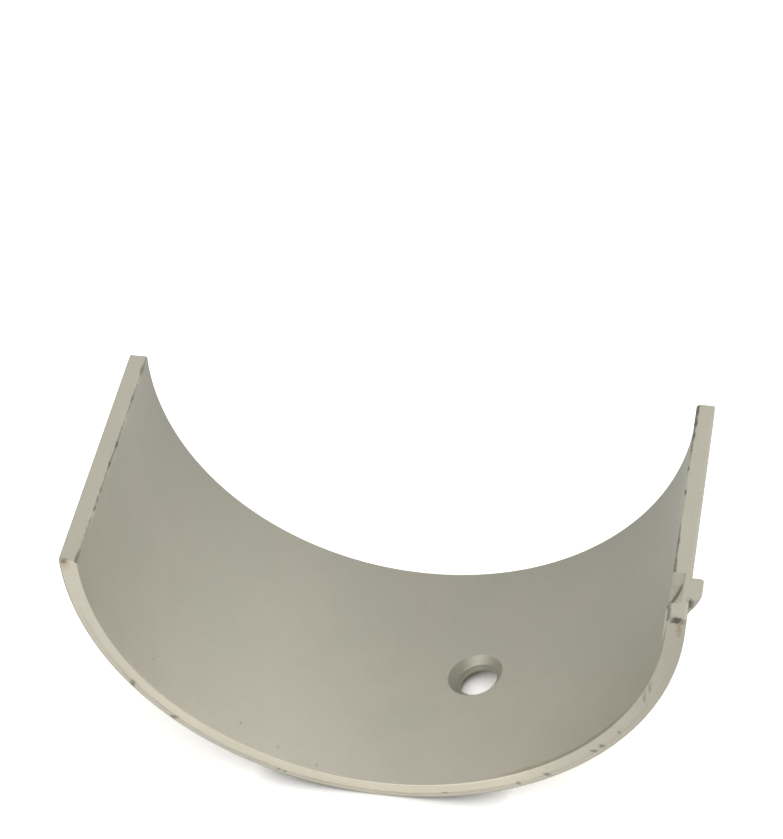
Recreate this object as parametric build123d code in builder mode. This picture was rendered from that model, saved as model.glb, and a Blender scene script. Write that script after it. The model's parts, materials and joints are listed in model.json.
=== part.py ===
from build123d import *
import os
from math import cos, radians, sin, sqrt

# One half of a split plain bearing for an engine's journal, in millimetres.
# The shell is a thin half ring that lies on its back with its two joint faces up.
# X runs across the joint faces, Y along the journal and Z up. The origin is on the
# journal's axis, half way along the shell, in the plane of the joint faces.

# Half ring
journal_radius = 30.5
wall = 2.0
shell_length = 32.0
inner_edge_chamfer = 0.15
outer_edge_chamfer = 0.2
joint_edge_chamfer = 0.25

# Oil hole, drilled half way along the shell, through the wall towards the journal's axis
oil_hole_diameter = 4.5
oil_hole_angle = 15.6
countersink_diameter = 6.2
countersink_angle = 90.0

# Locating tang, pressed out of the wall at the joint face on the +X side, with an
# upright land at its top and a ramp below, which runs on a little way into the wall
tang_inset = 3.0
tang_width = 3.1
tang_reach = 1.25
tang_land = 0.2
tang_drop = 2.0
tang_near_round = 1.1
tang_far_round = 0.15
ramp_run_on = 0.25

# Notch that the tang leaves in the bore, with a hollow floor
notch_side_gap = 0.6
notch_depth = 1.35
notch_drop = 6.0
notch_floor_radius = 11.0
cutter_runout = 0.3

back_radius = journal_radius + wall
mid_radius = journal_radius + wall / 2
tang_near_side = -shell_length / 2 + tang_inset
tang_middle = tang_near_side + tang_width / 2


def wall_point(radius, drop):
    """The point of the circle of this radius that lies drop below the joint faces, as X and Z."""
    return (sqrt(radius**2 - drop**2), -drop)


def past(start, end, share):
    """The point past end on the line from start, by a share of that line's length."""
    return tuple(b + (b - a) * share for a, b in zip(start, end))


# Tang: its outline seen from above, cut to the ramp that runs down into the back.
with BuildPart() as tang:
    with BuildSketch(Plane.XY) as tang_outline:
        with Locations((mid_radius, tang_middle)):
            Rectangle(wall / 2 + tang_reach, tang_width, align=(Align.MIN, Align.CENTER))
        outer_corners = tang_outline.vertices().group_by(Axis.X)[-1].sort_by(Axis.Y)
        fillet(outer_corners[0], radius=tang_near_round)
        outer_corners = tang_outline.vertices().group_by(Axis.X)[-1].sort_by(Axis.Y)
        fillet(outer_corners[-1], radius=tang_far_round)
    extrude(amount=-tang_drop - wall)

    ramp_top = (back_radius + tang_reach, -tang_land)
    ramp_foot = wall_point(back_radius, tang_drop)
    with BuildSketch(Plane.XZ.offset(-tang_middle)):
        with BuildLine():
            Polyline(
                (mid_radius, 0),
                (back_radius + tang_reach, 0),
                ramp_top,
                ramp_foot,
                past(ramp_top, ramp_foot, ramp_run_on),
                wall_point(mid_radius, tang_drop),
                close=True,
            )
        make_face()
    extrude(amount=tang_width, both=True, mode=Mode.INTERSECT)

with BuildPart() as bearing_shell:
    # The wall's section, with its four corners broken, carried half way round the journal.
    with BuildSketch(Plane.XY) as wall_section:
        with Locations((mid_radius, 0)):
            Rectangle(wall, shell_length)
        chamfer(wall_section.vertices().group_by(Axis.X)[0], length=inner_edge_chamfer)
        chamfer(wall_section.vertices().group_by(Axis.X)[-1], length=outer_edge_chamfer)
    revolve(axis=Axis.Y, revolution_arc=180)

    # The bore's two long edges at the joint faces are broken.
    joint_faces = bearing_shell.faces().filter_by(Axis.Z).group_by(Axis.Z)[-1]
    bore_edges = [
        joint_face.edges().filter_by(Axis.Y).sort_by(lambda edge: abs(edge.center().X))[0]
        for joint_face in joint_faces
    ]
    chamfer(bore_edges, length=joint_edge_chamfer)

    # The tang and its notch, which is deepest at the joint face and runs out in the bore.
    add(tang.part)
    notch_top = (journal_radius + notch_depth, 0)
    notch_foot = wall_point(journal_radius - cutter_runout, notch_drop)
    clear_of_wall = notch_foot[0] - notch_depth
    with BuildSketch(Plane.XZ.offset(-tang_middle)):
        with BuildLine():
            RadiusArc(notch_top, notch_foot, notch_floor_radius)
            Polyline(notch_foot, (clear_of_wall, -notch_drop), (clear_of_wall, 0), notch_top)
        make_face()
    extrude(amount=tang_width / 2 + notch_side_gap, both=True, mode=Mode.SUBTRACT)

    # The oil hole's countersink starts on a plane just inside the bore, so that its
    # rim is where the cone leaves the curved wall.
    bore_sagitta = journal_radius - sqrt(journal_radius**2 - (countersink_diameter / 2) ** 2)
    depth_through_wall = wall + 2 * bore_sagitta
    hole_direction = Vector(sin(radians(oil_hole_angle)), 0, -cos(radians(oil_hole_angle)))
    hole_plane = Plane(
        origin=hole_direction * (journal_radius - bore_sagitta),
        x_dir=(0, 1, 0),
        z_dir=hole_direction * -1,
    )
    with Locations(hole_plane):
        CounterSinkHole(
            radius=oil_hole_diameter / 2,
            counter_sink_radius=countersink_diameter / 2 + bore_sagitta / 2,
            depth=depth_through_wall,
            counter_sink_angle=countersink_angle,
        )

bearing_shell.part.label = "bearing_shell"
os.makedirs("parts", exist_ok=True)
export_step(bearing_shell.part, "parts/bearing_shell.step")
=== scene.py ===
import json
from math import atan2, cos, pi, radians, sin

import bpy
import numpy as np
from mathutils import Matrix, Vector


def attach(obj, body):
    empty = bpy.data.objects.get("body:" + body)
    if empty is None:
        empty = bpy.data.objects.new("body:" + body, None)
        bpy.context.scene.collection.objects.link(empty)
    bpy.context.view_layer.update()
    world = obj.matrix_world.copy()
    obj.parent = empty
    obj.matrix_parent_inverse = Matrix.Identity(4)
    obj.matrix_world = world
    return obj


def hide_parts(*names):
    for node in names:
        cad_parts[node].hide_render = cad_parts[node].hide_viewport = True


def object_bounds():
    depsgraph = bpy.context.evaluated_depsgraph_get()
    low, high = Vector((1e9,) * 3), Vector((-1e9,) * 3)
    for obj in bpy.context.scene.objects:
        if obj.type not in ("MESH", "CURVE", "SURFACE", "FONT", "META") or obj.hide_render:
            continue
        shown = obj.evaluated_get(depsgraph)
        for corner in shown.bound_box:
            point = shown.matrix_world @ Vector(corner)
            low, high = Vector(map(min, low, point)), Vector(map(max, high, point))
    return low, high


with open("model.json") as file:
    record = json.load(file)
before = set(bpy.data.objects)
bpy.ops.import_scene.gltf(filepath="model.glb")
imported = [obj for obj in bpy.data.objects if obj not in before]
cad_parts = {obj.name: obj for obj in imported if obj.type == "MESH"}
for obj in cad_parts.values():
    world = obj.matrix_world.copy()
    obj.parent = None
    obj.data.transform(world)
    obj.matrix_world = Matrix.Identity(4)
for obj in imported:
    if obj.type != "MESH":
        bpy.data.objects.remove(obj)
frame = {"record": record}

# One half of a split plain bearing for an engine's journal. It is a thin half ring of
# steel with a soft grey bearing metal on the inside, and it lies on its back, open side
# up. Lengths are in metres, in the CAD model's frame: X across the joint faces, Y along
# the journal, Z up, origin on the journal's axis in the plane of the joint faces.

cad_low, cad_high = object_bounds()
record = frame["record"]
mounts = {mount["name"]: mount for mount in record["mounts"]}
mm = 0.001

# The half ring. The real one is a strip of steel with a bearing lining, bent round,
# coined to a half circle, bored, and then ground at its two joint faces and turned at
# its two side faces. Every corner is broken a little.

journal_radius = mounts["journal_seat"]["dims"]["r_mm"] * mm
back_radius = -cad_low.x
half_length = cad_high.y
inner_edge_round = 0.1 * mm
outer_edge_round = 0.2 * mm
joint_chamfer = 0.2 * mm
joint_back_round = 0.05 * mm
joint_side_round = 0.04 * mm
quarter_turn = pi / 2
half_turn = pi


def quarter_round(distance, size):
    """How far a rounded edge falls back: size at the edge itself, nothing from size away.

    The fall is that of a quarter circle, size - sqrt(size^2 - t^2), where t is how much
    of the round has been passed.
    """
    t = np.clip(size - distance, 0.0, size)
    return size - np.sqrt(size**2 - t**2)


def stretches(*stops):
    """Grid lines from (value, parts) stops: each stretch ends at value and is cut in parts."""
    lines = [np.array([stops[0][0]])]
    for (start, _), (end, parts) in zip(stops[:-1], stops[1:]):
        lines.append(np.linspace(start, end, parts + 1)[1:])
    return np.concatenate(lines)


def round_stops(edge, size, parts):
    """Grid lines over a rounded edge: edge - size * (1 - sin(a)) for even angles a."""
    return edge - size * (1.0 - np.sin(np.linspace(0.0, quarter_turn, parts + 1)))


# The locating tang and its notch. A punch pushes a small lug outwards at one joint face,
# which keys the shell into the housing, and a cutter leaves a notch behind it in the
# bore that runs out as the bore curves away.

tang_reach = cad_high.x - back_radius
tang_width = 3.1 * mm
tang_near_side = -half_length + 3.0 * mm
tang_far_side = tang_near_side + tang_width
tang_land = 0.2 * mm
tang_drop = 2.0 * mm
tang_near_round = 1.1 * mm
tang_far_round = 0.35 * mm
step_run = 0.01 * mm
tolerance = 1e-9

notch_side_gap = 0.6 * mm
notch_near_side = tang_near_side - notch_side_gap
notch_far_side = tang_far_side + notch_side_gap
notch_depth = 1.35 * mm
notch_drop = 6.0 * mm
notch_floor_radius = 11.0 * mm
cutter_runout = 0.3 * mm
notch_corner = 0.12 * mm
notch_foot_rise = 0.12


def arc_centre():
    """X and Z of the centre of the notch's floor, an arc with its hollow side to the bore.

    The arc runs from the notch's deepest point at the joint face to the place where the
    cutter runs out of the bore. Its centre lies off the chord's middle, square to the
    chord, by the square root of notch_floor_radius^2 - (chord / 2)^2.
    """
    top = np.array([journal_radius + notch_depth, 0.0])
    foot_radius = journal_radius - cutter_runout
    foot = np.array([(foot_radius**2 - notch_drop**2) ** 0.5, -notch_drop])
    chord = foot - top
    chord_length = np.hypot(*chord)
    inward = np.array([chord[1], -chord[0]]) / chord_length
    return (top + foot) / 2 + inward * (notch_floor_radius**2 - (chord_length / 2) ** 2) ** 0.5


notch_centre = arc_centre()


def notch_floor(angle):
    """Distance from the journal's axis to the notch's floor, at an angle below the joint face.

    It is where the ray at that angle leaves the circle of the floor's arc.
    """
    along = notch_centre[0] * np.cos(angle) - notch_centre[1] * np.sin(angle)
    return along + np.sqrt(along**2 - notch_centre @ notch_centre + notch_floor_radius**2)


def notch_share(y):
    """1 inside the notch and 0 outside it, with walls one step_run wide and rounded feet.

    At a wall's foot the share is less by notch_foot_rise, and a quarter round takes it
    to 1 over notch_corner.
    """
    inside = np.minimum(y - notch_near_side, notch_far_side - y)
    wall = np.clip(inside / step_run, 0.0, 1.0)
    foot = quarter_round(np.clip(inside, 0.0, None), notch_corner) / notch_corner
    return wall * (1.0 - notch_foot_rise * foot)


def tang_ramp(angle):
    """Distance from the journal's axis to the tang's outer face, at an angle below the joint face.

    Next to the joint face the tang is a short upright land. Below it a straight ramp
    runs into the back, and the distance is where the ray at that angle meets it.
    """
    crest = back_radius + tang_reach
    land_foot = np.array([crest, -tang_land])
    ramp_foot = np.array([(back_radius**2 - tang_drop**2) ** 0.5, -tang_drop])
    slope = ramp_foot - land_foot
    ray = np.cos(angle) * slope[1] + np.sin(angle) * slope[0]
    on_ramp = (land_foot[0] * slope[1] - land_foot[1] * slope[0]) / ray
    return np.minimum(crest / np.cos(angle), on_ramp)


def tang_outline(y):
    """X of the tang's outer end, seen from above, with a large round at its near corner.

    It is the crest less what the quarter rounds of the two corners take off it, and 0
    beside the tang.
    """
    near = quarter_round(y - tang_near_side, tang_near_round)
    far = quarter_round(tang_far_side - y, tang_far_round)
    crest = back_radius + tang_reach
    inside = np.minimum(y - tang_near_side, tang_far_side - y)
    return np.where(inside > -tolerance, crest - near - far, 0.0)


# The wall's two curved faces. Both are heights over one grid of angle and Y, so the
# bore, the back, the side faces and the joint faces meet line for line.

chamfer_sway = 0.05 * mm
sway_length = 7.0 * mm
side_blend = 1.0 * mm


def joint_distance(angle, radius):
    """Arc length from the nearer joint face: radius times the smaller of angle and pi - angle."""
    return radius * np.minimum(angle, half_turn - angle)


def bore_face(angle, y):
    """Radius of the bore: chamfered at the joint faces, rounded at the sides, cut by the notch.

    The chamfer adds what is left of its size at the distance from the joint face, and
    sways a little with Y as a sine. The notch adds its floor's depth times its share.
    """
    hand_sway = chamfer_sway * np.sin(y / sway_length * 2 * pi + angle)
    chamfer = np.clip(joint_chamfer + hand_sway - joint_distance(angle, journal_radius), 0.0, None)
    radius = journal_radius + chamfer + quarter_round(half_length - np.abs(y), inner_edge_round)
    ramp_end = np.arcsin(notch_drop / journal_radius)
    floor = notch_floor(np.minimum(angle, ramp_end))
    depth = np.clip(floor - journal_radius, 0.0, None) * (angle < ramp_end)
    return np.maximum(radius, journal_radius + depth * notch_share(y))


def back_face(angle, y):
    """Radius of the back: rounded at all its edges, with the tang standing out of it.

    It is the larger of the back's radius less its rounds and the tang's own distance,
    which is the smaller of its ramp and its outline.
    """
    edges = quarter_round(half_length - np.abs(y), outer_edge_round)
    edges = np.maximum(edges, quarter_round(joint_distance(angle, back_radius), joint_back_round))
    ramp_end = np.arcsin(tang_drop / back_radius)
    near_joint = np.minimum(angle, ramp_end)
    tang = np.minimum(tang_ramp(near_joint), tang_outline(y) / np.cos(near_joint))
    return np.maximum(back_radius - edges, np.where(angle < ramp_end, tang, 0.0))


def place(radius, angle, y):
    """Points from cylinder coordinates: x = radius * cos(angle), z = -radius * sin(angle).

    Near the side faces, Y falls back by a small round at the joint faces.
    """
    ease = quarter_round(joint_distance(angle, journal_radius), joint_side_round)
    near_side = np.clip((np.abs(y) - half_length + side_blend) / side_blend, 0.0, 1.0)
    eased = y - np.sign(y) * ease * near_side
    return np.stack([radius * np.cos(angle), eased + 0.0 * radius, -radius * np.sin(angle)], axis=-1)


# The oil hole. It is drilled through the wall towards the journal's axis and countersunk
# on the bore's side, so that oil from the housing spreads into the bearing.

hole_mount = mounts["oil_hole"]
hole_axis = Vector(hole_mount["axis"]).normalized()
hole_angle = atan2(-hole_axis.z, hole_axis.x)
hole_y = hole_mount["pos_m"][1]
hole_radius = hole_mount["dims"]["r_mm"] * mm
countersink_radius = 3.1 * mm
hole_edge_round = 0.06 * mm
hole_patch = 4.4 * mm
patch_parts = 24
patch_rings = 10
edge_parts = 4
rim_rounds = 6


def hole_point(across, along, height):
    """Points in the hole's own frame, where height is the distance from the journal's axis.

    Across is square to the hole's axis in the XZ plane, and along is Y. X and Z are those
    of a turn by the hole's angle.
    """
    x = height * cos(hole_angle) - across * sin(hole_angle)
    z = -height * sin(hole_angle) - across * cos(hole_angle)
    return np.stack([x, hole_y + along + 0.0 * x, z], axis=-1)


def corner(before, turn, after, parts):
    """A small round from before to after that bends towards a sharp turn.

    It is the curve (1 - t)^2 * before + 2 * t * (1 - t) * turn + t^2 * after.
    """
    t = np.linspace(0.0, 1.0, parts + 1)[:, None, None]
    return (1 - t) ** 2 * before + 2 * t * (1 - t) * turn + t**2 * after


def hole_wall(bearing):
    """The hole's profile, from the bore to the back, as (radius, height) rows for each bearing.

    The countersink is a right-angled cone, so its radius falls as fast as its height
    grows. The rim is where that cone leaves the bore, found by a few rounds of putting
    the radius back into the bore's height sqrt(R^2 - (radius * cos)^2).
    """
    dip = journal_radius - (journal_radius**2 - countersink_radius**2) ** 0.5
    cone_sum = countersink_radius + dip / 2 + journal_radius - dip
    rim = np.full_like(bearing, countersink_radius)
    for _ in range(rim_rounds):
        rim = cone_sum - np.sqrt(journal_radius**2 - (rim * np.cos(bearing)) ** 2)
    wide = rim + hole_edge_round
    lean = hole_edge_round * sin(quarter_turn / 2)
    throat = np.full_like(bearing, hole_radius)
    throat_height = cone_sum - throat
    back_rim = throat + hole_edge_round

    def over(surface, radius):
        return np.sqrt(surface**2 - (radius * np.cos(bearing)) ** 2)

    def pair(radius, height):
        return np.stack([radius, height], axis=-1)[None]

    rim_corner = corner(
        pair(wide, over(journal_radius, wide)),
        pair(rim, cone_sum - rim),
        pair(rim - lean, cone_sum - rim + lean),
        edge_parts,
    )
    throat_corner = corner(
        pair(throat + lean, throat_height - lean),
        pair(throat, throat_height),
        pair(throat, throat_height + hole_edge_round),
        edge_parts,
    )
    back_corner = corner(
        pair(throat, over(back_radius, throat) - hole_edge_round),
        pair(throat, over(back_radius, throat)),
        pair(back_rim, over(back_radius, back_rim)),
        edge_parts,
    )
    share = np.linspace(0.0, 1.0, edge_parts + 1)[1:-1, None, None]
    cone = rim_corner[-1] * (1 - share) + throat_corner[0] * share
    drilled = throat_corner[-1] * (1 - share) + back_corner[0] * share
    return np.concatenate([rim_corner, cone, throat_corner, drilled, back_corner])


# The shell's mesh. The grid lines lie close together where a corner is rounded or a wall
# is steep, and a square of the grid round the oil hole gives way to rings that shrink
# from that square to the hole's rim.

wall_parts = 6
step_ease = 0.08 * mm
chamfer_angle = (joint_chamfer + chamfer_sway) / journal_radius
notch_angle = notch_drop / journal_radius
patch_angle = hole_patch / journal_radius
round_parts = 4

y_lines = np.concatenate(
    [
        -round_stops(half_length, outer_edge_round, round_parts)[::-1],
        stretches(
            (-half_length + outer_edge_round, 0),
            (notch_near_side - step_ease, 5),
            (notch_near_side, 2),
            (notch_near_side + step_run, 1),
            (notch_near_side + notch_corner, 4),
            (tang_near_side - step_run, 2),
            (tang_near_side, 1),
            (tang_near_side + tang_near_round / 4, 4),
            (tang_near_side + tang_near_round, 6),
            (tang_far_side - tang_far_round, 6),
            (tang_far_side, 4),
            (tang_far_side + step_run, 1),
            (notch_far_side - notch_corner, 2),
            (notch_far_side - step_run, 4),
            (notch_far_side, 1),
            (notch_far_side + step_ease, 2),
            (hole_y - hole_patch, 10),
            (hole_y + hole_patch, patch_parts),
            (half_length - outer_edge_round, 26),
        )[1:-1],
        round_stops(half_length, outer_edge_round, round_parts),
    ]
)
angle_lines = stretches(
    (0.0, 0),
    (joint_back_round / back_radius, 3),
    (chamfer_angle, 5),
    (notch_angle, 30),
    (notch_angle + 2 / 3 * chamfer_angle, 1),
    (hole_angle - patch_angle, 50),
    (hole_angle + patch_angle, patch_parts),
    (half_turn - chamfer_angle, 96),
    (half_turn - joint_back_round / back_radius, 5),
    (half_turn, 3),
)
angles, ys = np.meshgrid(angle_lines, y_lines, indexing="ij")
bore_points = place(bore_face(angles, ys), angles, ys)
back_points = place(back_face(angles, ys), angles, ys)

# Each finish stands for a material, and the materials are added below in this order.
finishes = ["lining", "side", "joint", "back", "edge", "notch", "hole"]
corners = []
quads = []
kinds = []


def add_sheet(points, finish, inside_out=False, keep=None):
    """Adds a grid of points, rows by columns, as quads of one finish, or of one for each quad."""
    rows, columns = points.shape[:2]
    numbers = np.arange(rows * columns).reshape(rows, columns) + sum(len(p) for p in corners)
    ring = [numbers[:-1, :-1], numbers[1:, :-1], numbers[1:, 1:], numbers[:-1, 1:]]
    faces = np.stack(ring[::-1] if inside_out else ring, axis=-1)
    finish = np.broadcast_to(finish, faces.shape[:2])
    keep = np.ones(faces.shape[:2], bool) if keep is None else keep
    corners.append(points.reshape(-1, 3))
    quads.append(faces[keep])
    kinds.append(finish[keep])


def middles(values):
    """The mean of each quad's four corners on a grid."""
    return (values[:-1, :-1] + values[1:, :-1] + values[1:, 1:] + values[:-1, 1:]) / 4


middle_angle, middle_y = middles(angles), middles(ys)
in_patch_arc = np.abs(middle_angle - hole_angle) < patch_angle
in_patch = in_patch_arc & (np.abs(middle_y - hole_y) < hole_patch)
in_chamfer = joint_distance(middle_angle, journal_radius) < joint_chamfer + chamfer_sway
cut_by_notch = (
    (middle_angle < notch_angle)
    & (middle_y > notch_near_side)
    & (middle_y < notch_far_side)
)
on_near_edge = middle_y < inner_edge_round - half_length
on_far_edge = middle_y > half_length - inner_edge_round
bore_finish = np.where(on_near_edge, finishes.index("side"), finishes.index("lining"))
bore_finish = np.where(in_chamfer | on_far_edge, finishes.index("edge"), bore_finish)
bore_finish = np.where(cut_by_notch, finishes.index("notch"), bore_finish)
add_sheet(bore_points, bore_finish, inside_out=True, keep=~in_patch)
add_sheet(back_points, finishes.index("back"), keep=~in_patch)

share = np.linspace(0.0, 1.0, wall_parts + 1)[:, None]
for end, inside_out in ((0, False), (-1, True)):
    side = bore_points[:, end][:, None] * (1 - share) + back_points[:, end][:, None] * share
    add_sheet(side, finishes.index("side"), inside_out)
for end, inside_out in ((0, True), (-1, False)):
    joint = bore_points[end][:, None] * (1 - share) + back_points[end][:, None] * share
    add_sheet(joint, finishes.index("joint"), inside_out)

patch_rows = np.flatnonzero(np.abs(angle_lines - hole_angle) < patch_angle + tolerance)
patch_columns = np.flatnonzero(np.abs(y_lines - hole_y) < hole_patch + tolerance)
low_row, high_row = patch_rows[0], patch_rows[-1]
low_column, high_column = patch_columns[0], patch_columns[-1]
round_the_square = np.concatenate(
    [
        np.stack([np.full(patch_parts, high_row), np.arange(low_column, high_column)], -1),
        np.stack([np.arange(high_row, low_row, -1), np.full(patch_parts, high_column)], -1),
        np.stack([np.full(patch_parts, low_row), np.arange(high_column, low_column, -1)], -1),
        np.stack([np.arange(low_row, high_row + 1), np.full(patch_parts + 1, low_column)], -1),
    ]
)
square_angle = angle_lines[round_the_square[:, 0]] - hole_angle
square_y = y_lines[round_the_square[:, 1]] - hole_y
bearing = np.arctan2(square_y, journal_radius * np.sin(square_angle))
profile = hole_wall(bearing)
wall_radius, wall_height = profile[..., 0], profile[..., 1]
wall_points = hole_point(wall_radius * np.cos(bearing), wall_radius * np.sin(bearing), wall_height)
add_sheet(wall_points, finishes.index("hole"))
for surface, rim, finish, inside_out in (
    (journal_radius, wall_radius[0], finishes.index("lining"), False),
    (back_radius, wall_radius[-1], finishes.index("back"), True),
):
    square = np.stack([surface * np.sin(square_angle), square_y], axis=-1)
    circle = np.stack([rim * np.cos(bearing), rim * np.sin(bearing)], axis=-1)
    ring_share = np.linspace(0.0, 1.0, patch_rings + 1)[:, None, None]
    flat = square * (1 - ring_share) + circle * ring_share
    height = np.sqrt(surface**2 - flat[..., 0] ** 2)
    add_sheet(hole_point(flat[..., 0], flat[..., 1], height), finish, inside_out)

weld_grid = 1e-8
sharp_angle = radians(32.0)
every_corner = np.concatenate(corners)
every_quad = np.concatenate(quads)
on_weld_grid = np.round(every_corner / weld_grid).astype(np.int64)
_, first, welded = np.unique(on_weld_grid, axis=0, return_index=True, return_inverse=True)
shell_mesh = bpy.data.meshes.new("bearing_shell_metal")
shell_mesh.from_pydata(every_corner[first].tolist(), [], welded.reshape(-1)[every_quad].tolist())
shell_mesh.polygons.foreach_set("material_index", np.concatenate(kinds).astype(np.int32))
shell_mesh.validate()
shell_mesh.shade_smooth()
shell_mesh.set_sharp_from_angle(angle=sharp_angle)
shell = bpy.data.objects.new("bearing_shell_metal", shell_mesh)
bpy.context.scene.collection.objects.link(shell)
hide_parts("bearing_shell")
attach(shell, "root")


# The metal. Every face shows the same dull, warm grey metal, with fine lines that run
# round the journal from boring and turning, and faint clouds from handling. Grime has
# settled along the joint faces' inner edges, at the corners and in small nicks. Painted
# shade and painted highlights are laid into the colour of some faces as well.

around = (60.0, 5200.0, 5200.0)
speckle_cycles = (2600.0,) * 3
cloud_cycles = (110.0,) * 3
noise_low = 0.3
noise_high = 0.7
line_contrast = 0.025
line_roughness = 0.04
line_depth = 0.01 * mm
line_strength = 0.3
speckle_contrast = 0.02
speckle_height = 0.6
cloud_low = 0.38
cloud_high = 0.62
cloud_roughness = 0.03
grime_roughness = 0.25
grime_and_shade_colour = (0.085, 0.078, 0.055, 1.0)


def join(tree, value, socket):
    """Feeds an input from another node's output, or sets it to a plain value."""
    if isinstance(value, bpy.types.NodeSocket):
        tree.links.new(value, socket)
    else:
        socket.default_value = value


def maths(tree, operation, *values):
    """The output of a Math node over sockets or plain numbers."""
    made = tree.nodes.new("ShaderNodeMath")
    made.operation = operation
    for value, socket in zip(values, made.inputs):
        join(tree, value, socket)
    return made.outputs[0]


def vector_maths(tree, operation, *values):
    """A Vector Math node over sockets or plain vectors."""
    made = tree.nodes.new("ShaderNodeVectorMath")
    made.operation = operation
    for value, socket in zip(values, made.inputs):
        join(tree, value, socket)
    return made


def remap(tree, value, low, high, new_low=0.0, new_high=1.0):
    """The value moved evenly from one range to another, and kept inside it."""
    made = tree.nodes.new("ShaderNodeMapRange")
    for each, socket in zip((value, low, high, new_low, new_high), made.inputs):
        join(tree, each, socket)
    return made.outputs["Result"]


def noise(tree, vector, cycles, detail=3.0, roughness=0.55):
    """Fractal noise about 0.5, with its cycles per metre given along each axis."""
    made = tree.nodes.new("ShaderNodeTexNoise")
    join(tree, vector_maths(tree, "MULTIPLY", vector, cycles).outputs[0], made.inputs["Vector"])
    made.inputs["Scale"].default_value = 1.0
    made.inputs["Detail"].default_value = detail
    made.inputs["Roughness"].default_value = roughness
    return made.outputs["Fac"]


def blend(tree, share, first_colour, second_colour, way="MIX"):
    """Two colours mixed by a share."""
    made = tree.nodes.new("ShaderNodeMix")
    made.data_type = "RGBA"
    made.blend_type = way
    sockets = (made.inputs[0], made.inputs[6], made.inputs[7])
    for value, socket in zip((share, first_colour, second_colour), sockets):
        join(tree, value, socket)
    return made.outputs[2]


def grey(tree, level):
    """The same level in red, green and blue."""
    made = tree.nodes.new("ShaderNodeCombineColor")
    for channel in range(3):
        join(tree, level, made.inputs[channel])
    return made.outputs[0]


def split(tree, vector):
    """A vector's three parts."""
    apart = tree.nodes.new("ShaderNodeSeparateXYZ")
    join(tree, vector, apart.inputs[0])
    return apart.outputs


def distance(tree, position):
    """Distance from the journal's axis, the square root of x^2 + z^2."""
    flat = vector_maths(tree, "MULTIPLY", position, (1.0, 0.0, 1.0)).outputs[0]
    return vector_maths(tree, "LENGTH", flat).outputs["Value"]


def unrolled(tree, position):
    """The position as (arc length round the journal, Y, distance from the journal's axis)."""
    x, y, z = split(tree, position)
    angle = maths(tree, "ARCTAN2", x, maths(tree, "MULTIPLY", z, -1.0))
    arc_length = maths(tree, "MULTIPLY", angle, journal_radius)
    flat = tree.nodes.new("ShaderNodeCombineXYZ")
    for value, socket in zip((arc_length, y, distance(tree, position)), flat.inputs):
        join(tree, value, socket)
    return flat.outputs[0]


def swing(tree, noise_value, reach):
    """Noise whose usual range, noise_low to noise_high, is moved to -reach to reach."""
    return remap(tree, noise_value, noise_low, noise_high, -reach, reach)


def machined_metal(name, colour, cloud_colour, roughness, grime, stains_and_shade=(), lines=around, metal=1.0):
    """Bare machined metal: clouds in its colour, and fine lines in its sheen and its height.

    lines gives the cycles per metre of the machining lines along the arc, Y and the
    distance from the axis, so the lines run in the direction of the smallest. A stain is
    a mask and a colour that the metal is multiplied by, and some stains are painted shade
    or a painted highlight. Grime is masks of what covers the metal, and some of them are
    painted shade. A soft matt overlay has a metal share below 1.
    """
    material = bpy.data.materials.new(name)
    material.use_nodes = True
    tree = material.node_tree
    shader = tree.nodes["Principled BSDF"]
    position = tree.nodes.new("ShaderNodeTexCoord").outputs["Object"]
    grain = noise(tree, unrolled(tree, position), lines, detail=4.0, roughness=0.6)
    speckle = noise(tree, position, speckle_cycles, detail=2.0)
    clouds = noise(tree, position, cloud_cycles, detail=4.0, roughness=0.6)
    shade = remap(tree, grain, noise_low, noise_high, 1.0 - line_contrast, 1.0 + line_contrast)
    shade = maths(tree, "ADD", shade, swing(tree, speckle, speckle_contrast))
    tint = blend(tree, remap(tree, clouds, cloud_low, cloud_high), colour, cloud_colour)
    tint = blend(tree, 1.0, tint, grey(tree, shade), "MULTIPLY")
    for mask, stain_colour in stains_and_shade:
        stained = blend(tree, 1.0, tint, stain_colour, "MULTIPLY")
        tint = blend(tree, mask(tree, position), tint, stained)
    roughened = maths(tree, "ADD", roughness, swing(tree, grain, line_roughness))
    roughened = maths(tree, "ADD", roughened, swing(tree, clouds, cloud_roughness))
    # Grime, and painted shade at the tang's foot, the notch's crease and the hole's foot, cover the
    # metal here in one dark colour.
    covered = 0.0
    for mask in grime:
        covered = maths(tree, "MAXIMUM", covered, mask(tree, position))
    tint = blend(tree, covered, tint, grime_and_shade_colour)
    roughened = maths(tree, "ADD", roughened, maths(tree, "MULTIPLY", covered, grime_roughness))
    bare = maths(tree, "SUBTRACT", 1.0, covered)
    join(tree, maths(tree, "MULTIPLY", bare, metal), shader.inputs["Metallic"])
    bump = tree.nodes.new("ShaderNodeBump")
    bump.inputs["Strength"].default_value = line_strength
    bump.inputs["Distance"].default_value = line_depth
    height = maths(tree, "ADD", grain, maths(tree, "MULTIPLY", speckle, speckle_height))
    join(tree, height, bump.inputs["Height"])
    join(tree, tint, shader.inputs["Base Color"])
    join(tree, roughened, shader.inputs["Roughness"])
    join(tree, bump.outputs[0], shader.inputs["Normal"])
    return material


# The bearing lining, the soft grey metal of the bore, bonded to the steel strip and then
# finely bored. It is dull, painted shade darkens it towards its far end and towards the
# tang, and a thin broken line of grime runs along the inner edges of the joint faces.

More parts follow.
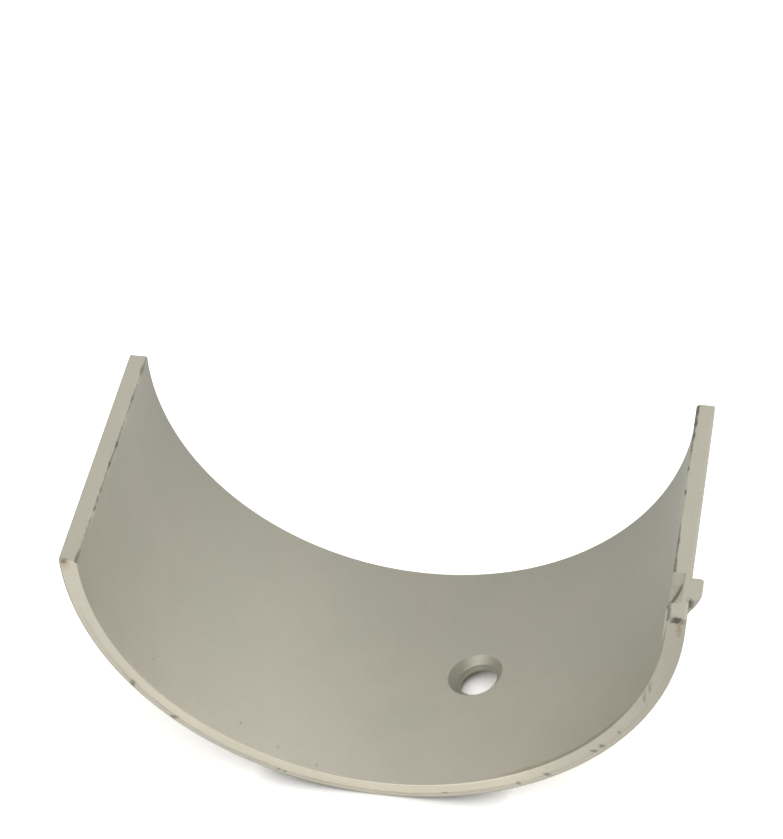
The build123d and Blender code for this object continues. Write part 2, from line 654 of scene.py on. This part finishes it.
line_end = 16.1
line_wander = 0.25 * mm
width_wander = 0.07 * mm
left_line = (
    (-16.0, 0.6, 0.18), (-14.8, 0.6, 0.12), (-13.8, 0.4, 0.03), (-12.6, 0.4, 0.02),
    (-11.6, 0.5, 0.04), (-10.8, 0.35, 0.01), (-10.0, 0.55, 0.04), (-9.2, 0.3, 0.0),
    (-8.5, 0.4, 0.02), (-8.0, 0.8, 0.06), (-7.4, 0.4, 0.01), (-6.8, 0.75, 0.05),
    (-6.1, 0.35, 0.01), (-5.3, 0.7, 0.05), (-4.4, 0.5, 0.01), (-2.3, 0.5, 0.02),
    (-1.4, 0.95, 0.07), (-0.6, 0.65, 0.03), (0.9, 0.5, 0.02), (1.7, 0.95, 0.06),
    (2.5, 0.55, 0.02), (5.0, 0.5, 0.01), (8.2, 0.5, 0.01), (8.9, 0.8, 0.04),
    (9.7, 0.45, 0.01), (12.6, 0.4, 0.0), (13.4, 0.55, 0.1), (14.2, 0.6, 0.14),
    (15.0, 0.4, 0.02), (16.0, 0.5, 0.02),
)
right_line = (
    (-16.0, 0.55, 0.2), (-14.2, 0.55, 0.2), (-13.4, 0.3, 0.02), (-9.4, 0.3, 0.0),
    (-9.2, 0.65, 0.18), (-7.6, 0.6, 0.14), (-6.6, 0.5, 0.06), (-5.0, 0.65, 0.08),
    (-3.2, 0.5, 0.05), (-1.6, 0.25, 0.01), (1.8, 0.1, 0.0), (2.5, 1.0, 0.09),
    (3.1, 0.1, 0.0), (5.2, 0.1, 0.0), (5.9, 0.75, 0.06), (6.5, 0.2, 0.02),
    (8.3, 0.35, 0.04), (8.9, 0.65, 0.1), (10.0, 0.4, 0.06), (11.1, 0.75, 0.18),
    (12.0, 0.5, 0.1), (13.0, 0.9, 0.22), (14.0, 0.6, 0.16), (15.0, 0.85, 0.22),
    (16.0, 0.6, 0.16),
)


def hypotenuse(tree, first, second):
    """The square root of first^2 + second^2."""
    squares = [maths(tree, "POWER", side, 2.0) for side in (first, second)]
    return maths(tree, "SQRT", maths(tree, "ADD", *squares))


def ragged(tree, position, cycles, reach, detail=3.0, roughness=0.55):
    """Noise that wanders between -reach and reach, to make a border ragged."""
    return swing(tree, noise(tree, position, (cycles,) * 3, detail, roughness), reach)


def tone_along(tree, value, low, high, knots):
    """A tone and a width that change evenly from knot to knot, from rows of (mm, tone, width)."""
    made = tree.nodes.new("ShaderNodeValToRGB")
    ramp = made.color_ramp.elements
    while len(ramp) < len(knots):
        ramp.new(1.0)
    for element, (knot, tone, width) in zip(ramp, knots):
        element.position = (knot - low) / (high - low)
        element.color = (tone, width, 0.0, 1.0)
    join(tree, remap(tree, value, low * mm, high * mm), made.inputs[0])
    return made.outputs[0]


def joint_line(tree, position):
    """A thin broken line of grime along the inner edges of both joint faces.

    It covers what lies within its width of the middle of the edge's chamfer, and both
    its width and its tone change along Y.
    """
    x, y, z = split(tree, position)
    wander = ragged(tree, position, 2200.0, 1.0, detail=5.0, roughness=0.7)
    moved = maths(tree, "ADD", y, maths(tree, "MULTIPLY", wander, line_wander))
    left = tone_along(tree, moved, -line_end, line_end, left_line)
    right = tone_along(tree, moved, -line_end, line_end, right_line)
    tone, width, _ = split(tree, blend(tree, maths(tree, "GREATER_THAN", x, 0.0), left, right))
    out = maths(tree, "SUBTRACT", maths(tree, "ABSOLUTE", x), journal_radius + joint_chamfer / 2)
    down = maths(tree, "ADD", z, joint_chamfer / 2)
    away = maths(tree, "ADD", hypotenuse(tree, out, down), maths(tree, "MULTIPLY", wander, width_wander))
    past_line = maths(tree, "SUBTRACT", away, maths(tree, "MULTIPLY", width, mm))
    return maths(tree, "MULTIPLY", tone, remap(tree, past_line, 0.02 * mm, 0.14 * mm, 1.0, 0.0))


def blots(marks, strength=1.0):
    """A mask of soft, ragged blots, each given by its middle and its half lengths in mm.

    How far out a point lies is the length of its offset from the middle, divided by the
    half lengths, and the blot fades between 0.2 and 1.3 of them.
    """

    def mask(tree, position):
        wander = ragged(tree, position, 2500.0, 0.6, detail=5.0, roughness=0.7)
        found = 0.0
        for middle, reach in marks:
            offset = vector_maths(tree, "SUBTRACT", position, [part * mm for part in middle]).outputs[0]
            scaled = vector_maths(tree, "DIVIDE", offset, [part * mm for part in reach]).outputs[0]
            reached = maths(tree, "ADD", vector_maths(tree, "LENGTH", scaled).outputs["Value"], wander)
            found = maths(tree, "MAXIMUM", found, remap(tree, reached, 0.2, 1.3, strength, 0.0))
        return found

    return mask


lining_flecks = (
    ((-24.8, -12.7, -17.7), (0.12, 0.2, 0.12)),
    ((-15.7, -13.3, -26.1), (0.12, 0.25, 0.12)),
    ((-11.5, -14.2, -28.3), (0.12, 0.25, 0.12)),
    ((-7.1, -15.1, -29.7), (0.12, 0.2, 0.12)),
)


def far_end_shade(tree, position):
    """Rises from 0 to 1 along Y, from the near side face to the far one: painted shade towards the far
    end.
    """
    _, y, _ = split(tree, position)
    return remap(tree, y, -half_length, half_length)


def tang_side_shade(tree, position):
    """Rises from 0 to 1 along X, from half way out to the tang's joint face: painted shade on the tang's
    side.
    """
    x, _, _ = split(tree, position)
    return remap(tree, x, 16.0 * mm, 33.0 * mm)


oil_inset = 0.35 * mm


def oiled_edge(tree, position):
    """1 on a thin line just inside the bore's near edge, on the low part of the tang's side."""
    x, y, _ = split(tree, position)
    wander = ragged(tree, position, 900.0, 0.1 * mm)
    inset = maths(tree, "ADD", maths(tree, "ADD", y, wander), half_length - oil_inset)
    line = remap(tree, maths(tree, "ABSOLUTE", inset), 0.1 * mm, oil_inset, 1.0, 0.0)
    start = remap(tree, x, 12.0 * mm, 16.0 * mm)
    end = remap(tree, x, 25.0 * mm, 28.0 * mm, 1.0, 0.0)
    return maths(tree, "MULTIPLY", line, maths(tree, "MULTIPLY", start, end))


shell_mesh.materials.append(
    machined_metal(
        "bearing_lining",
        colour=(0.483, 0.468, 0.384, 1.0),
        cloud_colour=(0.518, 0.484, 0.403, 1.0),
        roughness=0.52,
        grime=(joint_line, blots(lining_flecks, 0.45)),
        stains_and_shade=(
            (far_end_shade, (0.74, 0.75, 0.755, 1.0)),
            (tang_side_shade, (0.91, 0.94, 0.925, 1.0)),
            (oiled_edge, (0.8, 0.76, 0.68, 1.0)),
        ),
        metal=0.6,
    )
)


# The two side faces, turned square to the journal through lining and steel. They are a
# pale cream, paler in part as painted light, a little greyer outside a faint turning line,
# and grime sits in small nicks on the near one. A painted highlight brightens a band low
# on the wall, and painted shade darkens them towards the tang and on the bore's edge.

rim_start = 31.5 * mm
rim_border = 0.4 * mm
line_radius = 31.8 * mm
line_half_width = 0.22 * mm
side_y = -half_length / mm
corner_grime = (((31.55, side_y + 0.15, -0.1), (0.7, 0.4, 0.4)),)
# Painted shade at the foot of the tang's near side, where it meets the back.
tang_foot_shade = (((32.6, side_y + 3.0, -0.45), (0.36, 0.45, 0.6)),)
corner_rust = (
    ((-31.95, side_y, -0.5), (0.6, 0.5, 0.8)),
    ((31.8, side_y, -1.1), (0.3, 0.3, 1.5)),
)
side_grime = (
    ((-32.0, side_y, -0.1), (0.45, 0.35, 0.4)),
    ((-26.4, side_y, -18.3), (0.3, 0.3, 0.7)),
    ((-22.25, side_y, -23.0), (0.5, 0.3, 0.3)),
    ((-11.2, side_y, -29.9), (0.22, 0.3, 0.18)),
    ((-10.5, side_y, -30.2), (0.2, 0.3, 0.14)),
    ((7.2, side_y, -30.9), (0.35, 0.3, 0.12)),
    ((15.3, side_y, -27.9), (0.25, 0.3, 0.3)),
    ((18.4, side_y, -26.0), (0.5, 0.3, 0.3)),
    ((23.4, side_y, -21.3), (0.45, 0.3, 0.25)),
    ((24.2, side_y, -20.4), (0.35, 0.3, 0.3)),
    ((26.0, side_y, -17.9), (0.2, 0.3, 0.2)),
)
side_streaks = (
    ((28.55, side_y, -12.0), (0.2, 0.3, 0.9)),
    ((29.1, side_y, -10.5), (0.2, 0.3, 1.0)),
)
rust_colour = (0.78, 0.7, 0.54, 1.0)


def outer_rim(tree, position):
    """1 on the wall's outer part, with a ragged border, fading towards both joint faces."""
    x, _, z = split(tree, position)
    radius = maths(tree, "ADD", distance(tree, position), ragged(tree, position, 700.0, 0.15 * mm))
    rim = remap(tree, radius, rim_start, rim_start + rim_border)
    low = remap(tree, maths(tree, "SUBTRACT", x, maths(tree, "MULTIPLY", z, 2.0)), -20.0 * mm, 0.0)
    low = maths(tree, "MULTIPLY", low, remap(tree, x, 15.0 * mm, 25.0 * mm, 1.0, 0.0))
    return maths(tree, "MULTIPLY", rim, low)


def bore_rim_shade(tree, position):
    """1 on the rounded edge between the side face and the bore, low on the wall, where painted shade
    dims the edge's highlight.
    """
    x, _, _ = split(tree, position)
    edge = journal_radius + inner_edge_round
    rim = remap(tree, distance(tree, position), edge - 0.03 * mm, edge + 0.03 * mm, 1.0, 0.0)
    return maths(tree, "MULTIPLY", rim, remap(tree, x, 5.0 * mm, 14.0 * mm, 1.0, 0.0))


def turning_line(tree, position):
    """1 on the thin, broken line that turning left round the low part of the wall."""
    x, _, z = split(tree, position)
    radius = maths(tree, "ADD", distance(tree, position), ragged(tree, position, 500.0, 0.12 * mm))
    off = maths(tree, "ABSOLUTE", maths(tree, "SUBTRACT", radius, line_radius))
    line = remap(tree, off, 0.0, line_half_width, 1.0, 0.0)
    broken = remap(tree, noise(tree, position, (260.0,) * 3), 0.35, 0.6, 0.35, 1.0)
    line = maths(tree, "MULTIPLY", line, broken)
    line = maths(tree, "MULTIPLY", line, remap(tree, x, 2.0 * mm, 12.0 * mm, 1.0, 0.5))
    return maths(tree, "MULTIPLY", line, remap(tree, z, -6.0 * mm, -12.0 * mm))


def painted_highlight_band(tree, position):
    """1 inside the turning line, low on the wall, where a painted highlight brightens the side face."""
    x, _, _ = split(tree, position)
    inner = remap(tree, distance(tree, position), line_radius - 0.25 * mm, line_radius, 1.0, 0.0)
    start = remap(tree, x, -27.0 * mm, -23.0 * mm)
    end = remap(tree, x, 14.0 * mm, 20.0 * mm, 1.0, 0.0)
    return maths(tree, "MULTIPLY", inner, maths(tree, "MULTIPLY", start, end))


shell_mesh.materials.append(
    machined_metal(
        "turned_side",
        colour=(0.62, 0.585, 0.49, 1.0),
        cloud_colour=(0.655, 0.613, 0.51, 1.0),
        roughness=0.45,
        grime=(blots(side_grime, 0.6), blots(side_streaks, 0.3), blots(corner_grime)),
        stains_and_shade=(
            (outer_rim, (0.93, 0.94, 0.95, 1.0)),
            (turning_line, (0.8, 0.8, 0.79, 1.0)),
            (bore_rim_shade, (0.83, 0.83, 0.85, 1.0)),
            (blots(corner_rust, 0.8), rust_colour),
            (painted_highlight_band, (1.1, 1.09, 1.07, 1.0)),
            (tang_side_shade, (0.66, 0.67, 0.67, 1.0)),
        ),
    )
)


# The joint faces, ground flat, which meet the other half's. They are as pale as the
# bore's lighter parts, with straight lines from grinding, and grime lies at the near
# corners, while painted shade darkens the foot of the tang's near side.

across_wall = (5200.0, 200.0, 5200.0)

shell_mesh.materials.append(
    machined_metal(
        "ground_joint",
        colour=(0.455, 0.44, 0.365, 1.0),
        cloud_colour=(0.475, 0.455, 0.375, 1.0),
        roughness=0.42,
        grime=(blots(corner_grime), blots(tang_foot_shade, 0.75), joint_line, blots(side_grime[:1], 0.4)),
        stains_and_shade=((blots(corner_rust, 0.8), rust_colour),),
        lines=across_wall,
    )
)


# The back, which seats in the housing. It is the strip's plain steel, finely turned, with
# a little grime at the near corner and painted shade where the tang stands out of it.

shell_mesh.materials.append(
    machined_metal(
        "steel_back",
        colour=(0.42, 0.405, 0.34, 1.0),
        cloud_colour=(0.45, 0.43, 0.36, 1.0),
        roughness=0.45,
        grime=(blots(corner_grime), blots(tang_foot_shade, 0.75)),
    )
)


# The broken edges of the bore, cut by a file or a scraper at the joint faces and at the
# far end. They are as bright as the lining, and carry most of the grime line.

shell_mesh.materials.append(
    machined_metal(
        "cut_edge",
        colour=(0.46, 0.45, 0.37, 1.0),
        cloud_colour=(0.49, 0.475, 0.39, 1.0),
        roughness=0.5,
        grime=(joint_line, blots(corner_grime), blots(side_grime, 0.6)),
    )
)


# The notch behind the tang, milled after the lining was put on, so it is brighter than
# the bore. Painted shade darkens the crease between its floor and its far wall.

notch_axis = (notch_centre[0], 0.0, notch_centre[1])


def notch_crease_shade(tree, position):
    """A mask of painted shade in the crease, fading with the distance from both the floor and the far
    wall.
    """
    _, y, z = split(tree, position)
    from_centre = vector_maths(tree, "SUBTRACT", position, notch_axis).outputs[0]
    from_floor = maths(tree, "SUBTRACT", notch_floor_radius, distance(tree, from_centre))
    from_wall = maths(tree, "SUBTRACT", notch_far_side, y)
    wander = ragged(tree, position, 1800.0, 0.06 * mm, detail=5.0, roughness=0.7)
    away = maths(tree, "ADD", hypotenuse(tree, from_floor, from_wall), wander)
    low = remap(tree, z, -1.4 * mm, -2.2 * mm, 0.15, 0.75)
    return maths(tree, "MULTIPLY", low, remap(tree, away, 0.06 * mm, 0.32 * mm, 1.0, 0.0))


shell_mesh.materials.append(
    machined_metal(
        "cut_notch",
        colour=(0.63, 0.613, 0.518, 1.0),
        cloud_colour=(0.66, 0.638, 0.538, 1.0),
        roughness=0.55,
        grime=(notch_crease_shade,),
        metal=0.4,
    )
)


# The hole's own surface, drilled and countersunk through the lining and the steel. It is
# darker than the bore on the side away from the tang, and painted shade darkens the
# drilled wall's lower end there.

throat_level = 31.25 * mm
throat_border = 0.15 * mm
foot_start = back_radius - 0.55 * mm
foot_end = back_radius - 0.2 * mm


def down_the_hole(tree, position):
    """How far out along the hole's axis, and how far across it, away from the tang."""
    out = vector_maths(tree, "DOT_PRODUCT", position, tuple(hole_axis)).outputs["Value"]
    away = (-sin(hole_angle), 0.0, -cos(hole_angle))
    return out, vector_maths(tree, "DOT_PRODUCT", position, away).outputs["Value"]


def hole_shade(tree, position):
    """1 at the hole's side away from the tang."""
    _, across = down_the_hole(tree, position)
    return remap(tree, across, 0.2 * mm, 2.0 * mm)


def drilled_wall(tree, position):
    """1 below the countersink, on the side away from the tang, where it stayed brighter."""
    out, across = down_the_hole(tree, position)
    below = remap(tree, out, throat_level - throat_border, throat_level + throat_border)
    return maths(tree, "MULTIPLY", below, remap(tree, across, -0.8 * mm, 1.3 * mm))


def hole_foot_shade(tree, position):
    """1 at the drilled wall's lower end on the side away from the tang, where painted shade darkens it.
    """
    out, across = down_the_hole(tree, position)
    low = maths(tree, "ADD", out, ragged(tree, position, 1500.0, 0.1 * mm))
    low = remap(tree, low, foot_start, foot_end, 0.0, 0.75)
    return maths(tree, "MULTIPLY", low, remap(tree, across, -1.4 * mm, 0.6 * mm))


shell_mesh.materials.append(
    machined_metal(
        "hole_wall",
        colour=(0.46, 0.445, 0.375, 1.0),
        cloud_colour=(0.48, 0.465, 0.39, 1.0),
        roughness=0.58,
        grime=(hole_foot_shade,),
        stains_and_shade=(
            (hole_shade, (0.6, 0.62, 0.59, 1.0)),
            (drilled_wall, (1.4, 1.42, 1.4, 1.0)),
        ),
        metal=0.8,
    )
)


# The studio. A plain white floor carries a soft shadow, with painted shadow making it
# darkest close to the shell, a large soft lamp hangs on the tang's side, a smaller one in
# front, and the room is white all round.

floor_level = -back_radius
floor_reach = 3.0
paper_white = 0.7
paper_seen = 1.2
paper_glare = 0.78
contact_reach = 3.0 * mm
contact_shade = 0.25
room_light = 0.5


def directly_seen(tree):
    """1 for rays from the camera, and for those reflected or let through by the object."""
    rays = tree.nodes.new("ShaderNodeLightPath").outputs
    seen = maths(tree, "MAXIMUM", rays["Is Camera Ray"], rays["Is Glossy Ray"])
    return maths(tree, "MAXIMUM", seen, rays["Is Transmission Ray"])


def open_floor(tree):
    """The share of the room that a point of the floor sees past what is within contact_reach. It sets
    the floor's painted shadow.
    """
    made = tree.nodes.new("ShaderNodeAmbientOcclusion")
    made.inputs["Distance"].default_value = contact_reach
    return made.outputs["AO"]


floor_mesh = bpy.data.meshes.new("floor")
floor_corners = [
    (x * floor_reach, y * floor_reach, floor_level) for x, y in ((-1, -1), (1, -1), (1, 1), (-1, 1))
]
floor_mesh.from_pydata(floor_corners, [], [(0, 1, 2, 3)])
floor = bpy.data.objects.new("floor", floor_mesh)
bpy.context.scene.collection.objects.link(floor)

# The paper lights the shell as paper_white. Reflections show it as paper_seen, and the
# camera sees it brighter still, by paper_glare, so that it comes out white. Where the
# shell covers it closely, a painted shadow lets the camera see no more than
# contact_shade of that.
floor_material = bpy.data.materials.new("white_floor")
floor_material.use_nodes = True
tree = floor_material.node_tree
paper = tree.nodes.new("ShaderNodeBsdfDiffuse")
level = remap(tree, directly_seen(tree), 0.0, 1.0, paper_white, paper_seen)
to_camera = tree.nodes.new("ShaderNodeLightPath").outputs["Is Camera Ray"]
level = maths(tree, "ADD", level, maths(tree, "MULTIPLY", to_camera, paper_glare))
painted_contact_shadow = maths(tree, "MULTIPLY", to_camera, maths(tree, "SUBTRACT", 1.0, open_floor(tree)))
level = maths(tree, "MULTIPLY", level, remap(tree, painted_contact_shadow, 0.0, 1.0, 1.0, contact_shade))
join(tree, grey(tree, level), paper.inputs["Color"])
join(tree, paper.outputs[0], tree.nodes["Material Output"].inputs["Surface"])
floor_mesh.materials.append(floor_material)

world = bpy.data.worlds.new("white_room")
bpy.context.scene.world = world
world.use_nodes = True
tree = world.node_tree
room = tree.nodes["Background"]
room.inputs["Color"].default_value = (1.0, 1.0, 1.0, 1.0)
join(tree, remap(tree, directly_seen(tree), 0.0, 1.0, room_light, 1.0), room.inputs["Strength"])


def soft_lamp(name, stand, size, power):
    """A square area lamp that faces the journal's axis, half way along the shell."""
    data = bpy.data.lights.new(name, "AREA")
    data.size = size
    data.energy = power
    lamp = bpy.data.objects.new(name, data)
    lamp.location = stand
    lamp.rotation_euler = (Vector(stand) * -1.0).to_track_quat("-Z", "Y").to_euler()
    bpy.context.scene.collection.objects.link(lamp)


soft_lamp("key_lamp", stand=(0.55, 0.0, 0.50), size=1.2, power=2.8)
soft_lamp("fill_lamp", stand=(-0.25, -0.50, 0.60), size=0.6, power=1.4)


# The camera stands where the photograph was taken from: in front of the shell's near
# side, a little to the tang's side, looking down about 43 degrees. Its focal length and
# its sensor's size are in millimetres.

camera_place = (0.0460, -0.21788, 0.21781)
camera_turn = radians(11.887)
camera_tilt = radians(90.0 - 43.166)
camera_roll = radians(-3.07)
focal_length = 126.455
sensor_size = 36.0
camera_data = bpy.data.cameras.new("camera")
camera_data.lens = focal_length
camera_data.sensor_width = sensor_size
camera_data.clip_start = 0.01
camera = bpy.data.objects.new("camera", camera_data)
camera.matrix_world = (
    Matrix.Translation(camera_place)
    @ Matrix.Rotation(camera_turn, 4, "Z")
    @ Matrix.Rotation(camera_tilt, 4, "X")
    @ Matrix.Rotation(camera_roll, 4, "Z")
)
bpy.context.scene.collection.objects.link(camera)
bpy.context.scene.camera = camera
bpy.context.scene.view_settings.view_transform = "Standard"
